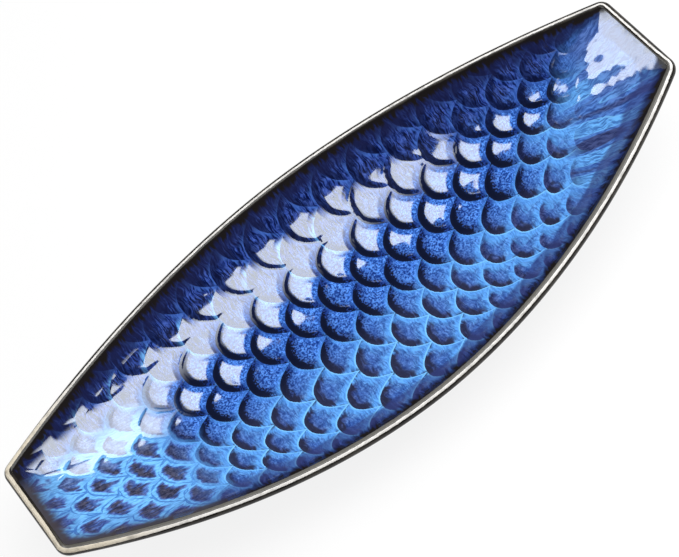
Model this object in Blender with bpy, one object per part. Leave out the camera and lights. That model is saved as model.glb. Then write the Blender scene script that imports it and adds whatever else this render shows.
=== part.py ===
import math

import bmesh
import bpy
import numpy as np

# Sizes are in metres. X runs along the platter, Y across it, Z up from the table.
LENGTH = 0.355          # over the rim, end to end
WIDTH = 0.144           # over the rim at mid-length
END_WIDTH = 0.052       # straight cut-off end, before its corners are rounded
SIDE_BOW = 1.92         # power of the bowed side; 2 would be a parabola
WELL_DEPTH = 0.0222     # rim's top to the floor of the well, at mid-length
END_RISE = 0.019        # how much higher the rim stands at both ends
RISE_POWER = 2.0        # how late the rim starts to climb to the ends
WELL_POWER = 2.8        # how late the floor turns up into the wall
WELL_ROUNDING = 3.0     # how late the oval floor takes on the boat outline
WELL_CORNER = 0.0027    # plan radius of the well's corners
SHELL = 0.0068          # clay with both glazes, measured straight down
LIP_RADIUS = 0.0026     # rounded lip, glazed
LIP_LEAN = 50.0         # degrees the lip's round is turned towards the well
GLAZE = 0.0009          # thickness of every glaze coat
GAP = 0.0004            # space left between two coats, or a coat and the clay
FOOT_LENGTH = 0.190     # oval foot ring, outside, where it leaves the back
FOOT_BREADTH = 0.074
FOOT_WIDTH = 0.0065     # width of the foot ring at its top
FOOT_TAPER = 0.0009     # how much the foot narrows on each side going down
FOOT_CHAMFER = 0.0007   # worn edges of the foot's flat underside
FOOT_DEPTH = 0.0020     # hollow base above the table
BARE_CLAY = 0.0025      # strip left unglazed on both sides of the foot
SCALE_PITCH = 0.0208    # distance between scales in a row at mid-length
SCALE_ROWS = 5.45       # rows of scales from the centre line to the rim
SCALE_SHIFT = -0.0031   # where the first scale tip stands along X
SCALE_LEAN = 0.0005     # how much further towards -X each row stands than the one on its -Y side
SCALE_END = 0.9         # pitch of the scales at the ends against the middle ones
ROW_SHIFT = 0.113       # how far the first row stands off the centre line towards -Y, in rows
ROW_BOW = 0.92          # how far the rows swing towards +Y at both ends, in rows
SCALE_CURVE = 2.3       # power of a scale's rounded edge
SCALE_RELIEF = 0.0012   # height of a scale's raised edge over its groove
SCALE_CREST = 0.16      # crest's place between two grooves
SCALE_FULL = 0.4        # shortest scale length, in pitches, with full relief
FADE_FROM = 0.88        # relief starts to die out here, as a share of the well
FADE_TO = 0.98          # plain glaze from here to the rim

SIDE_STEPS = 9          # segments of each quarter's bowed side
CORNER_STEPS = 3
END_STEPS = 2
TABLE_STEPS = 240       # finer outline that the well's shape is read from
SCALE_STEPS = 4         # segments of half a scale's edge
LIP_STEPS = 5
WELL_RINGS = (0.14, 0.3, 0.44, 0.56, 0.67, 0.77, 0.86, 0.94)    # shares of the well's edge
BACK_RINGS = (0.03, 0.2, 0.4, 0.6, 0.8, 1.0)                    # from the well's edge to the bare strip
BASE_RINGS = (0.35, 0.7, 1.0)                                   # from the middle to the bare strip
SHARP_ANGLE = math.radians(35)

HALF_LENGTH = LENGTH / 2
FLOOR_HEIGHT = FOOT_DEPTH + SHELL
RIM_HEIGHT = FLOOR_HEIGHT + WELL_DEPTH
LIP_TILT = math.radians(LIP_LEAN)
RIM_BAND = LIP_RADIUS * (1 + math.cos(LIP_TILT))      # plan width of the lip down to the well
RIM_DROP = LIP_RADIUS * (1 - math.sin(LIP_TILT))      # well's edge below the rim's top
CORNER_RADIUS = WELL_CORNER + RIM_BAND
COAT = GLAZE + GAP
SCALE_SPAN = 3 * HALF_LENGTH / SCALE_PITCH / (2 + SCALE_END)    # pitches from mid-length to an end


def side_half_width(x):
    ratio = np.minimum(np.abs(x) / HALF_LENGTH, 1.0)
    return END_WIDTH / 2 + (WIDTH - END_WIDTH) / 2 * (1.0 - ratio ** SIDE_BOW)


def side_turn(x):
    slope = (WIDTH - END_WIDTH) / 2 * SIDE_BOW / HALF_LENGTH * (x / HALF_LENGTH) ** (SIDE_BOW - 1)
    return math.atan(slope)


def corner_start():
    # Where the bowed side gives way to the rounded corner, found by halving.
    low, high = HALF_LENGTH - CORNER_RADIUS, HALF_LENGTH
    for _ in range(60):
        x = (low + high) / 2
        if x - CORNER_RADIUS * math.sin(side_turn(x)) > HALF_LENGTH - CORNER_RADIUS:
            high = x
        else:
            low = x
    return low


def outline(side_steps, corner_steps, end_steps):
    # Points of the rim in plan with their outward directions, counter-clockwise.
    start = corner_start()
    turn = side_turn(start)
    centre_y = float(side_half_width(start)) - CORNER_RADIUS * math.cos(turn)
    quarter = []
    for k in range(side_steps):
        x = start * k / side_steps
        angle = side_turn(x)
        quarter.append((x, float(side_half_width(x)), math.sin(angle), math.cos(angle)))
    for k in range(corner_steps):
        angle = turn + (math.pi / 2 - turn) * k / corner_steps
        out_x, out_y = math.sin(angle), math.cos(angle)
        x = HALF_LENGTH - CORNER_RADIUS * (1 - out_x)
        quarter.append((x, centre_y + CORNER_RADIUS * out_y, out_x, out_y))
    for k in range(end_steps + 1):
        quarter.append((HALF_LENGTH, centre_y * (1 - k / end_steps), 1.0, 0.0))
    quarter = np.array(quarter)
    right = np.vstack([quarter, quarter[-2::-1] * (1, -1, 1, -1)])
    whole = np.vstack([right, right[-2:0:-1] * (-1, 1, -1, 1)])
    return whole[::-1]


def rim_height(x):
    return RIM_HEIGHT + END_RISE * np.minimum(np.abs(x) / HALF_LENGTH, 1.0) ** RISE_POWER


def edge_table():
    # Radius and rim height of the well's edge against the angle round the middle.
    fine = outline(TABLE_STEPS, TABLE_STEPS, TABLE_STEPS)
    edge = fine[:, :2] - fine[:, 2:] * RIM_BAND
    angle = np.arctan2(edge[:, 1], edge[:, 0])
    order = np.argsort(angle)
    return angle[order], np.hypot(edge[:, 0], edge[:, 1])[order], rim_height(fine[:, 0])[order]


STATIONS = outline(SIDE_STEPS, CORNER_STEPS, END_STEPS)
WELL_EDGE = STATIONS[:, :2] - STATIONS[:, 2:] * RIM_BAND
TABLE_ANGLE, TABLE_RADIUS, TABLE_RIM = edge_table()


def well_share(x, y):
    # 0 in the middle of the well and 1 along its edge, with the rim height on that side.
    # Lines of equal share are oval on the floor and take on the boat outline at the edge.
    angle = np.arctan2(y, x)
    edge = np.interp(angle, TABLE_ANGLE, TABLE_RADIUS, period=2 * math.pi)
    rim = np.interp(angle, TABLE_ANGLE, TABLE_RIM, period=2 * math.pi)
    oval = 1 / np.hypot(np.cos(angle) / (HALF_LENGTH - RIM_BAND), np.sin(angle) / (WIDTH / 2 - RIM_BAND))
    distance = np.hypot(x, y)
    return distance / (oval + (edge - oval) * (distance / edge) ** WELL_ROUNDING), rim


def well_height(x, y):
    share, rim = well_share(x, y)
    return FLOOR_HEIGHT + (rim - RIM_DROP - FLOOR_HEIGHT) * share ** WELL_POWER


def shell_ring(plan, drop):
    # A loop of points lying drop under the glazed well.
    return np.column_stack([plan, well_height(plan[:, 0], plan[:, 1]) - drop])


def level_ring(plan, height):
    return np.column_stack([plan, np.full(len(plan), height)])


def foot_plan(shrink):
    # The foot's oval, shrink inside its outer edge.
    angle = np.arctan2(STATIONS[:, 1] / WIDTH, STATIONS[:, 0] / LENGTH)
    return np.column_stack([(FOOT_LENGTH / 2 - shrink) * np.cos(angle),
                            (FOOT_BREADTH / 2 - shrink) * np.sin(angle)])


def well_rings(drop):
    return [shell_ring(WELL_EDGE * share, drop) for share in WELL_RINGS]


def back_rings(drop):
    last = foot_plan(-BARE_CLAY)
    return [shell_ring(WELL_EDGE + (last - WELL_EDGE) * share, drop) for share in BACK_RINGS]


def base_rings(drop):
    last = foot_plan(FOOT_WIDTH + BARE_CLAY)
    return [shell_ring(last * share, drop) for share in BASE_RINGS]


def lip_ring(radius, angle):
    # A loop on the lip's round; angle 0 faces outwards and 90 degrees up.
    plan = STATIONS[:, :2] - STATIONS[:, 2:] * (LIP_RADIUS - radius * math.cos(angle))
    height = rim_height(STATIONS[:, 0]) - LIP_RADIUS + radius * math.sin(angle)
    return np.column_stack([plan, height])


def lip_rings(radius):
    return [lip_ring(radius, math.pi * (1 - k / LIP_STEPS) - LIP_TILT) for k in range(LIP_STEPS + 1)]


def middle(drop):
    return np.array([[0.0, 0.0, FLOOR_HEIGHT - drop]])


def loft(rings, closed=False):
    # Joins loop after loop; a loop of one point closes the skin to a fan.
    bm = bmesh.new()
    loops = [[bm.verts.new(point) for point in ring] for ring in rings]
    pairs = list(zip(loops, loops[1:]))
    if closed:
        pairs.append((loops[-1], loops[0]))
    for lower, upper in pairs:
        for k in range(len(STATIONS)):
            corners = [lower[k % len(lower)], lower[(k + 1) % len(lower)],
                       upper[(k + 1) % len(upper)], upper[k % len(upper)]]
            bm.faces.new(list(dict.fromkeys(corners)))
    bmesh.ops.triangulate(bm, faces=bm.faces[:])
    return bm


def finish(name, bm, colour, roughness):
    bmesh.ops.recalc_face_normals(bm, faces=bm.faces[:])
    mesh = bpy.data.meshes.new(name)
    bm.to_mesh(mesh)
    bm.free()
    mesh.shade_smooth()
    mesh.set_sharp_from_angle(angle=SHARP_ANGLE)
    thing = bpy.data.objects.new(name, mesh)
    bpy.context.scene.collection.objects.link(thing)
    material = bpy.data.materials.new(name)
    material.use_nodes = True
    material.diffuse_color = (*colour, 1.0)
    shader = material.node_tree.nodes["Principled BSDF"]
    shader.inputs["Base Color"].default_value = (*colour, 1.0)
    shader.inputs["Roughness"].default_value = roughness
    mesh.materials.append(material)
    return thing


def stoneware_body():
    # Clay shell: well side, rounded lip, back, foot ring and hollow base.
    back = SHELL - COAT
    foot_in = FOOT_WIDTH - FOOT_TAPER
    rings = [middle(COAT)] + well_rings(COAT) + lip_rings(LIP_RADIUS - COAT) + back_rings(back)
    rings.append(shell_ring(foot_plan(0.0), back))
    rings.append(level_ring(foot_plan(FOOT_TAPER), FOOT_CHAMFER))
    rings.append(level_ring(foot_plan(FOOT_TAPER + FOOT_CHAMFER), 0.0))
    rings.append(level_ring(foot_plan(foot_in - FOOT_CHAMFER), 0.0))
    rings.append(level_ring(foot_plan(foot_in), FOOT_CHAMFER))
    rings.append(shell_ring(foot_plan(FOOT_WIDTH), back))
    rings += base_rings(back)[::-1] + [middle(back)]
    return finish("stoneware_body", loft(rings), (0.56, 0.47, 0.37), 0.8)


def rim_glaze():
    # Thin dark coat over the lip.
    rings = lip_rings(LIP_RADIUS) + lip_rings(LIP_RADIUS - GLAZE)[::-1]
    return finish("rim_glaze", loft(rings, closed=True), (0.06, 0.05, 0.04), 0.15)


def outside_glaze():
    # Coat on the back, from under the lip to the bare strip round the foot.
    start = -LIP_TILT - GAP / (LIP_RADIUS - GLAZE)
    face = [lip_ring(LIP_RADIUS, start)] + back_rings(SHELL)
    inside = [lip_ring(LIP_RADIUS - GLAZE, start)] + back_rings(SHELL - GLAZE)
    return finish("outside_glaze", loft(face + inside[::-1], closed=True), (0.02, 0.04, 0.14), 0.15)


def base_glaze():
    # Coat in the hollow inside the foot ring.
    face = [middle(SHELL)] + base_rings(SHELL)
    inside = [middle(SHELL - GLAZE)] + base_rings(SHELL - GLAZE)
    return finish("base_glaze", loft(face + inside[::-1]), (0.02, 0.05, 0.16), 0.15)


def scale_edge(across):
    # How far a scale's rounded edge has fallen back, in pitches, across from its tip.
    return 0.5 * across ** SCALE_CURVE


def scale_line(row, across, columns):
    # Points along the sheet, groove and crest in turn: place, row and share of the relief.
    offset = 0.5 * (row % 2)
    points = []
    for column in range(-columns, columns + 1):
        own = column % 2 == 0
        start = column / 2 + offset + scale_edge(across if own else 1 - across)
        end = column / 2 + offset + 0.5 + scale_edge(1 - across if own else across)
        length = end - start
        points.append((start, row + across, 0.0))
        points.append((start + SCALE_CREST * length, row + across, min(1.0, length / SCALE_FULL)))
    return np.array(points)


def scale_points(line):
    # Rows follow the bowed sides, and scales close up towards both ends.
    share = np.clip(line[:, 0] / SCALE_SPAN, -1.0, 1.0)
    size = 1 - (1 - SCALE_END) * share ** 2
    x = SCALE_PITCH * line[:, 0] * (2 + size) / 3 + SCALE_SHIFT - SCALE_LEAN * line[:, 1]
    bow = ROW_BOW * (x / HALF_LENGTH) ** 2
    y = (line[:, 1] - ROW_SHIFT + bow) / SCALE_ROWS * side_half_width(x)
    fade = np.clip((FADE_TO - well_share(x, y)[0]) / (FADE_TO - FADE_FROM), 0.0, 1.0)
    lift = SCALE_RELIEF * size * fade * line[:, 2]
    return np.column_stack([x, y, well_height(x, y) + lift])


def scale_block():
    # Sheet of overlapping scales laid in the well, with a deep solid under it.
    rows = math.ceil(SCALE_ROWS + abs(ROW_SHIFT) + abs(ROW_BOW)) + 1
    reach = HALF_LENGTH + abs(SCALE_SHIFT) + abs(SCALE_LEAN) * rows
    columns = 2 * math.ceil(SCALE_SPAN * reach / HALF_LENGTH) + 2
    bm = bmesh.new()
    for row in range(-rows, rows):
        lines = []
        for step in range(SCALE_STEPS + 1):
            line = scale_points(scale_line(row, step / SCALE_STEPS, columns))
            lines.append([bm.verts.new(point) for point in line])
        for near, far in zip(lines, lines[1:]):
            for k in range(len(near) - 1):
                bm.faces.new((near[k], near[k + 1], far[k + 1], far[k]))
    bmesh.ops.remove_doubles(bm, verts=bm.verts[:], dist=GAP / 100)
    bmesh.ops.triangulate(bm, faces=bm.faces[:])
    sides = bmesh.ops.extrude_edge_only(bm, edges=[edge for edge in bm.edges if edge.is_boundary])
    for vert in sides["geom"]:
        if isinstance(vert, bmesh.types.BMVert):
            vert.co.z = -LENGTH
    bmesh.ops.edgeloop_fill(bm, edges=[edge for edge in bm.edges if edge.is_boundary])
    return bm


def scale_glaze():
    # Blue coat of the well, its face pressed into rows of fish scales.
    coat = finish("scale_glaze", scale_block(), (0.05, 0.16, 0.55), 0.12)
    edge = WELL_EDGE - STATIONS[:, 2:] * GAP / 2
    rings = [middle(GLAZE)] + well_rings(GLAZE) + [shell_ring(edge, GLAZE)]
    rings += [level_ring(edge, LENGTH), np.array([[0.0, 0.0, LENGTH]])]
    mould = finish("mould", loft(rings), (0.5, 0.5, 0.5), 0.5)
    trim = coat.modifiers.new("trim", "BOOLEAN")
    trim.operation = "INTERSECT"
    trim.solver = "EXACT"
    trim.object = mould
    bpy.context.view_layer.objects.active = coat
    bpy.ops.object.modifier_apply(modifier="trim")
    bpy.data.objects.remove(mould)
    return coat


def build():
    for thing in list(bpy.data.objects):
        bpy.data.objects.remove(thing)
    stoneware_body()
    scale_glaze()
    rim_glaze()
    outside_glaze()
    base_glaze()


build()
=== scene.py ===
import math

import bmesh
import bpy
import numpy as np
from mathutils import Matrix, Quaternion, Vector
from mathutils.kdtree import KDTree


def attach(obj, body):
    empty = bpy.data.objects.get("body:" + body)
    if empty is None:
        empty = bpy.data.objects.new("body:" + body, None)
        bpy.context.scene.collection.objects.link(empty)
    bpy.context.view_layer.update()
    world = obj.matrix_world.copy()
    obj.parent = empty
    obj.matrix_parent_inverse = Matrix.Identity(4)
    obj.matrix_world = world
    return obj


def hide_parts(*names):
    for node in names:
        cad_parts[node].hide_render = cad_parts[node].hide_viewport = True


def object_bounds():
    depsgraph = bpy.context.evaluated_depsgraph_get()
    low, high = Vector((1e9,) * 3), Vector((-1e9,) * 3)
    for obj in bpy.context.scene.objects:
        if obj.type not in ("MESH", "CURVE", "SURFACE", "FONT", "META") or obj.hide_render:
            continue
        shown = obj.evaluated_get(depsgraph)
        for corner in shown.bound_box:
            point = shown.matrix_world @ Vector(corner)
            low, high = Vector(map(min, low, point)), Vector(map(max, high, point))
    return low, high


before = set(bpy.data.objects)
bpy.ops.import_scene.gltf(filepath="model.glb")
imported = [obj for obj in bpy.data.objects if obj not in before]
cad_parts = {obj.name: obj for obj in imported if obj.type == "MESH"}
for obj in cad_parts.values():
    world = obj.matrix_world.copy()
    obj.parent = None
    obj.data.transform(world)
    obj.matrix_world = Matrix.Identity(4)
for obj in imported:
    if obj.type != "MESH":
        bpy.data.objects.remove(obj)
cadLow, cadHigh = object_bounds()
print("frame:", ", ".join(sorted(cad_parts)))

# the boat itself, in metres: X along it, Y across, Z up from the table
boat = {
    "halfLength": cadHigh.x,
    "halfWidth": cadHigh.y,
    "halfEnd": 0.026,               # straight cut-off end, before its corners are rounded
    "sideBow": 1.92,                # power of the bowed sides
    "rimTop": cadHigh.z,            # rim at both ends
    "rimRise": 0.019,               # how far the rim sinks from the ends to mid-length
    "floorTop": 0.0088,             # glazed floor of the well
    "wellTurn": 2.8,                # how late the floor turns up into the wall
    "wellRounding": 3.0,            # how late the oval floor takes on the boat outline
    "wellCorner": 0.0027,           # plan radius of the well's corners
    "wellSoftness": 0.008,          # how widely the folds behind those corners are rounded
    "shell": 0.0068,                # clay with both glazes, straight down
    "lipRadius": 0.0026,
    "lipLean": math.radians(50),    # how far the lip's round is turned towards the well
    "coat": 0.0009,                 # thickness of a glaze
    "steps": (70, 10, 14),          # of a quarter of the outline: along its side, corner and end
    "fineSteps": (400, 80, 40),     # the same where the outline is only measured
}
millimetres = 1000.0                # in a metre; the materials count in them
tiny = 1e-9
rimBand = boat["lipRadius"] * (1 + math.cos(boat["lipLean"]))    # lip's width in plan, down to the well
rimDrop = boat["lipRadius"] * (1 - math.sin(boat["lipLean"]))    # well's edge below the rim's top
cornerRadius = boat["wellCorner"] + rimBand


def sideHalf(x):
    ratio = np.minimum(np.abs(x) / boat["halfLength"], 1.0)
    return boat["halfEnd"] + (boat["halfWidth"] - boat["halfEnd"]) * (1.0 - ratio ** boat["sideBow"])


def sideTurn(x):
    steepest = (boat["halfWidth"] - boat["halfEnd"]) * boat["sideBow"] / boat["halfLength"]
    return math.atan(steepest * (x / boat["halfLength"]) ** (boat["sideBow"] - 1))


def cornerStart():
    low, high = boat["halfLength"] - cornerRadius, boat["halfLength"]
    for _ in range(60):                                # halving
        x = (low + high) / 2
        if x - cornerRadius * math.sin(sideTurn(x)) > boat["halfLength"] - cornerRadius:
            high = x
        else:
            low = x
    return low


def boatLine(sideSteps, cornerSteps, endSteps):
    # the rim's outer edge in plan with its outward directions, once round
    start = cornerStart()
    turn = sideTurn(start)
    centreY = float(sideHalf(start)) - cornerRadius * math.cos(turn)
    quarter = []
    for x in np.linspace(0, start, sideSteps, endpoint=False):
        angle = sideTurn(x)
        quarter.append((x, float(sideHalf(x)), math.sin(angle), math.cos(angle)))
    for angle in np.linspace(turn, math.pi / 2, cornerSteps, endpoint=False):
        outX, outY = math.sin(angle), math.cos(angle)
        x = boat["halfLength"] - cornerRadius * (1 - outX)
        quarter.append((x, centreY + cornerRadius * outY, outX, outY))
    for share in np.linspace(1, 0, endSteps + 1):
        quarter.append((boat["halfLength"], centreY * share, 1.0, 0.0))
    quarter = np.array(quarter)
    right = np.vstack([quarter, quarter[-2::-1] * (1, -1, 1, -1)])
    whole = np.vstack([right, right[-2:0:-1] * (-1, 1, -1, 1)])
    return whole[::-1]


def rimHeight(x):
    middle = boat["rimTop"] - boat["rimRise"]
    return middle + boat["rimRise"] * np.minimum(np.abs(x) / boat["halfLength"], 1.0) ** 2


stations = boatLine(*boat["steps"])
wellEdge = stations[:, :2] - stations[:, 2:] * rimBand
fineLine = boatLine(*boat["fineSteps"])
fineEdge = fineLine[:, :2] - fineLine[:, 2:] * rimBand
fineAngle = np.arctan2(fineEdge[:, 1], fineEdge[:, 0])
angleOrder = np.argsort(fineAngle)
edgeAngle = fineAngle[angleOrder]
edgeRadius = np.hypot(fineEdge[:, 0], fineEdge[:, 1])[angleOrder]
edgeRim = rimHeight(fineLine[:, 0])[angleOrder]


def wellShare(x, y):
    # 0 in the middle of the well, 1 along its edge, with the rim's height on that side
    angle = np.arctan2(y, x)
    edge = np.interp(angle, edgeAngle, edgeRadius, period=2 * math.pi)
    rim = np.interp(angle, edgeAngle, edgeRim, period=2 * math.pi)
    longWay = np.cos(angle) / (boat["halfLength"] - rimBand)
    shortWay = np.sin(angle) / (boat["halfWidth"] - rimBand)
    oval = 1 / np.hypot(longWay, shortWay)
    distance = np.hypot(x, y)
    return distance / (oval + (edge - oval) * (distance / edge) ** boat["wellRounding"]), rim


def wellHeight(x, y):
    share, rim = wellShare(x, y)
    return boat["floorTop"] + (rim - rimDrop - boat["floorTop"]) * share ** boat["wellTurn"]


def edgeGap(x, y):
    # how far inside the well's edge each point lies, in plan
    tree = KDTree(len(fineEdge))
    for k, (edgeX, edgeY) in enumerate(fineEdge):
        tree.insert((edgeX, edgeY, 0.0), k)
    tree.balance()
    return np.array([tree.find((*point, 0.0))[2] for point in zip(x, y)])


def softHeight(x, y, gap):
    # the well's height averaged over a small ring, which rounds the folds that run in from its corners
    reach = np.minimum(gap * 0.9, boat["wellSoftness"])          # stays inside the well
    turns = np.arange(8) * math.pi / 4
    around = [wellHeight(x + reach * math.cos(turn), y + reach * math.sin(turn)) for turn in turns]
    return (sum(around) + wellHeight(x, y)) / (len(around) + 1)


def shellRing(plan, drop):
    return np.column_stack([plan, wellHeight(plan[:, 0], plan[:, 1]) - drop])


def levelRing(plan, height):
    return np.column_stack([plan, np.full(len(plan), height)])


def lipRing(radius, angle):
    # angle 0 faces outwards and 90 degrees up
    plan = stations[:, :2] - stations[:, 2:] * (boat["lipRadius"] - radius * math.cos(angle))
    height = rimHeight(stations[:, 0]) - boat["lipRadius"] + radius * math.sin(angle)
    return np.column_stack([plan, height])


def lipRings(radius, steps):
    lean = boat["lipLean"]
    return [lipRing(radius, angle) for angle in np.linspace(math.pi - lean, -lean, steps + 1)]


# bmesh helpers: a ring is laid, then the next ones are pulled out of it
def layRing(bm, points):
    ring = bmesh.ops.create_circle(bm, segments=len(points), radius=1.0)["verts"]
    for vert, point in zip(ring, points):
        vert.co = point
    return ring


def ringEdges(bm, ring):
    return [bm.edges.get(pair) for pair in zip(ring, ring[1:] + ring[:1])]


def pullRing(bm, ring, points):
    made = bmesh.ops.extrude_edge_only(bm, edges=ringEdges(bm, ring))["geom"]
    twin = {tuple(item.co): item for item in made if isinstance(item, bmesh.types.BMVert)}
    pulled = [twin[tuple(vert.co)] for vert in ring]
    for vert, point in zip(pulled, points):
        vert.co = point
    return pulled


def pullRings(rings, closed):
    # closed joins the last ring to the first one; otherwise both ends are capped
    bm = bmesh.new()
    first = ring = layRing(bm, rings[0])
    for points in rings[1:]:
        ring = pullRing(bm, ring, points)
    if closed:
        bmesh.ops.bridge_loops(bm, edges=ringEdges(bm, first) + ringEdges(bm, ring))
    else:
        bmesh.ops.edgeloop_fill(bm, edges=ringEdges(bm, first))
        bmesh.ops.edgeloop_fill(bm, edges=ringEdges(bm, ring))
    return bm


def finishPiece(name, bm, node, material, sharp=50):
    bmesh.ops.recalc_face_normals(bm, faces=bm.faces[:])
    mesh = bpy.data.meshes.new(name)
    bm.to_mesh(mesh)
    bm.free()
    mesh.shade_smooth()
    mesh.set_sharp_from_angle(angle=math.radians(sharp))
    piece = bpy.data.objects.new(name, mesh)
    bpy.context.scene.collection.objects.link(piece)
    mesh.materials.append(material)
    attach(piece, "root")
    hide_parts(node)
    triangles = sum(len(face.vertices) - 2 for face in mesh.polygons)
    print(name, "triangles:", triangles)
    return piece


# node helpers: a Wire is a value on its way through a node tree
class Wire:
    def __init__(self, tree, socket):
        self.tree = tree
        self.socket = socket

    def math(self, operation, *others):
        node = self.tree.nodes.new("ShaderNodeMath")
        node.operation = operation
        for socket, value in zip(node.inputs, (self, *others)):
            feed(socket, value)
        return Wire(self.tree, node.outputs[0])

    def __add__(self, other):
        return self.math("ADD", other)

    def __sub__(self, other):
        return self.math("SUBTRACT", other)

    def __rsub__(self, other):
        return self.math("MULTIPLY_ADD", -1.0, other)

    def __mul__(self, other):
        return self.math("MULTIPLY", other)

    def __truediv__(self, other):
        return self.math("DIVIDE", other)

    def __pow__(self, other):
        return self.math("POWER", other)

    __radd__ = __add__
    __rmul__ = __mul__

    def floor(self):
        return self.math("FLOOR")

    def low(self, other):
        return self.math("MINIMUM", other)

    def high(self, other):
        return self.math("MAXIMUM", other)

    def over(self, limit):
        return self.math("GREATER_THAN", limit)

    def ramp(self, low, high):
        # 0 at low and 1 at high, easing in and out
        node = self.tree.nodes.new("ShaderNodeMapRange")
        node.interpolation_type = "SMOOTHSTEP"
        for socket, value in zip(node.inputs, (self, low, high)):
            feed(socket, value)
        return Wire(self.tree, node.outputs[0])

    def within(self, width, soft):
        # 1 below width and 0 above it, blurred by soft to both sides
        return self.ramp(width + soft, width - soft)


def feed(socket, value):
    if isinstance(value, Wire):
        value.tree.links.new(value.socket, socket)
    elif socket.type == "RGBA":
        socket.default_value = (*value, 1.0)
    else:
        socket.default_value = value


def vector(tree, *parts):
    node = tree.nodes.new("ShaderNodeCombineXYZ")
    for socket, value in zip(node.inputs, parts):
        feed(socket, value)
    return Wire(tree, node.outputs[0])


def parts(wire):
    node = wire.tree.nodes.new("ShaderNodeSeparateXYZ")
    feed(node.inputs[0], wire)
    return [Wire(wire.tree, socket) for socket in node.outputs]


def noise(place, scale, detail=2.0, roughness=0.5, distortion=0.0):
    node = place.tree.nodes.new("ShaderNodeTexNoise")
    feed(node.inputs["Vector"], place)
    feed(node.inputs["Scale"], scale)
    feed(node.inputs["Detail"], detail)
    feed(node.inputs["Roughness"], roughness)
    feed(node.inputs["Distortion"], distortion)
    return Wire(place.tree, node.outputs["Fac"])


def wander(place, scale, detail, reach):
    # noise that swings about 0
    return (noise(place, scale, detail) - 0.5) * reach


def mix(amount, under, over, blend="MIX"):
    tree = next(value.tree for value in (amount, under, over) if isinstance(value, Wire))
    node = tree.nodes.new("ShaderNodeMix")
    node.data_type = "RGBA"
    node.blend_type = blend
    node.clamp_factor = True
    feed(node.inputs[0], amount)
    feed(node.inputs[6], under)
    feed(node.inputs[7], over)
    return Wire(tree, node.outputs[2])


def tint(colour, amount, dim, lift):
    # colour dimmed where amount is 0 and lifted where it is 1
    return mix(1.0, colour, mix(amount, dim, lift), "MULTIPLY")


def between(amount, low, high):
    # a number between two others
    return (high - low) * amount + low


def attribute(tree, name):
    node = tree.nodes.new("ShaderNodeAttribute")
    node.attribute_name = name
    return parts(Wire(tree, node.outputs["Vector"]))


def ownPlace(tree):
    # the piece's own coordinates in millimetres, one by one and together
    node = tree.nodes.new("ShaderNodeTexCoord")
    x, y, z = [part * millimetres for part in parts(Wire(tree, node.outputs["Object"]))]
    return x, y, z, vector(tree, x, y, z)


def newGroup(name, inputs, outputs):
    tree = bpy.data.node_groups.new(name, "ShaderNodeTree")
    for label, kind in inputs:
        tree.interface.new_socket(label, in_out="INPUT", socket_type="NodeSocket" + kind)
    for label, kind in outputs:
        tree.interface.new_socket(label, in_out="OUTPUT", socket_type="NodeSocket" + kind)
    source = tree.nodes.new("NodeGroupInput")
    target = tree.nodes.new("NodeGroupOutput")
    return tree, {label: Wire(tree, source.outputs[label]) for label, _ in inputs}, target


def useGroup(tree, group, **values):
    node = tree.nodes.new("ShaderNodeGroup")
    node.node_tree = group
    for label, value in values.items():
        feed(node.inputs[label], value)
    return {socket.name: Wire(tree, socket) for socket in node.outputs}


def newMaterial(name, look):
    material = bpy.data.materials.new(name)
    material.use_nodes = True
    tree = material.node_tree
    shader = tree.nodes["Principled BSDF"]
    shader.inputs["IOR"].default_value = look["ior"]
    shader.inputs["Specular IOR Level"].default_value = look["gloss"]
    return material, tree, shader


def dress(tree, shader, colour, roughness, height, depth):
    bump = tree.nodes.new("ShaderNodeBump")
    bump.inputs["Strength"].default_value = 1.0
    bump.inputs["Distance"].default_value = depth
    feed(bump.inputs["Height"], height)
    feed(shader.inputs["Base Color"], colour)
    feed(shader.inputs["Roughness"], roughness)
    tree.links.new(bump.outputs["Normal"], shader.inputs["Normal"])


def hareFurGroup():
    # fine hairs that molten glaze leaves as it runs, along the first part of Place, in millimetres
    inputs = [("Place", "Vector"), ("Spacing", "Float"), ("Run", "Float")]
    tree, into, target = newGroup("hareFur", inputs, [("Hair", "Float"), ("Tuft", "Float")])
    along, across, deep = parts(into["Place"])
    across = across + wander(into["Place"], 0.16, 2.0, 5.0)
    strand = vector(tree, along / into["Run"], across / into["Spacing"], deep / into["Spacing"])
    hair = noise(strand, 1.0, 2.0, 0.6)
    tuft = noise(strand, 0.45, 1.0, 0.5)
    feed(target.inputs["Hair"], hair.ramp(0.38, 0.62))
    feed(target.inputs["Tuft"], tuft.ramp(0.36, 0.64))
    return tree


def glazeSkinGroup():
    # slow waves of the melted surface with a few pinholes, in millimetres
    outputs = [("Height", "Float"), ("Roughness", "Float")]
    tree, into, target = newGroup("glazeSkin", [("Place", "Vector")], outputs)
    wave = noise(into["Place"], 0.12, 1.0)
    ripple = noise(into["Place"], 0.55, 2.0)
    pin = noise(into["Place"], 1.7, 0.0).ramp(0.80, 0.86)
    feed(target.inputs["Height"], wave * 0.7 + ripple * 0.3 - pin * 0.5)
    feed(target.inputs["Roughness"], ripple.ramp(0.3, 0.75) * 0.05 + pin * 0.15 + 0.07)
    return tree


hareFur = hareFurGroup()
glazeSkin = glazeSkinGroup()
print("node groups ready")


def dressGlaze(tree, shader, look, place, colour):
    skin = useGroup(tree, glazeSkin, Place=place)
    dress(tree, shader, colour, skin["Roughness"] + look["dullness"], skin["Height"], look["skinDepth"])


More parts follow.
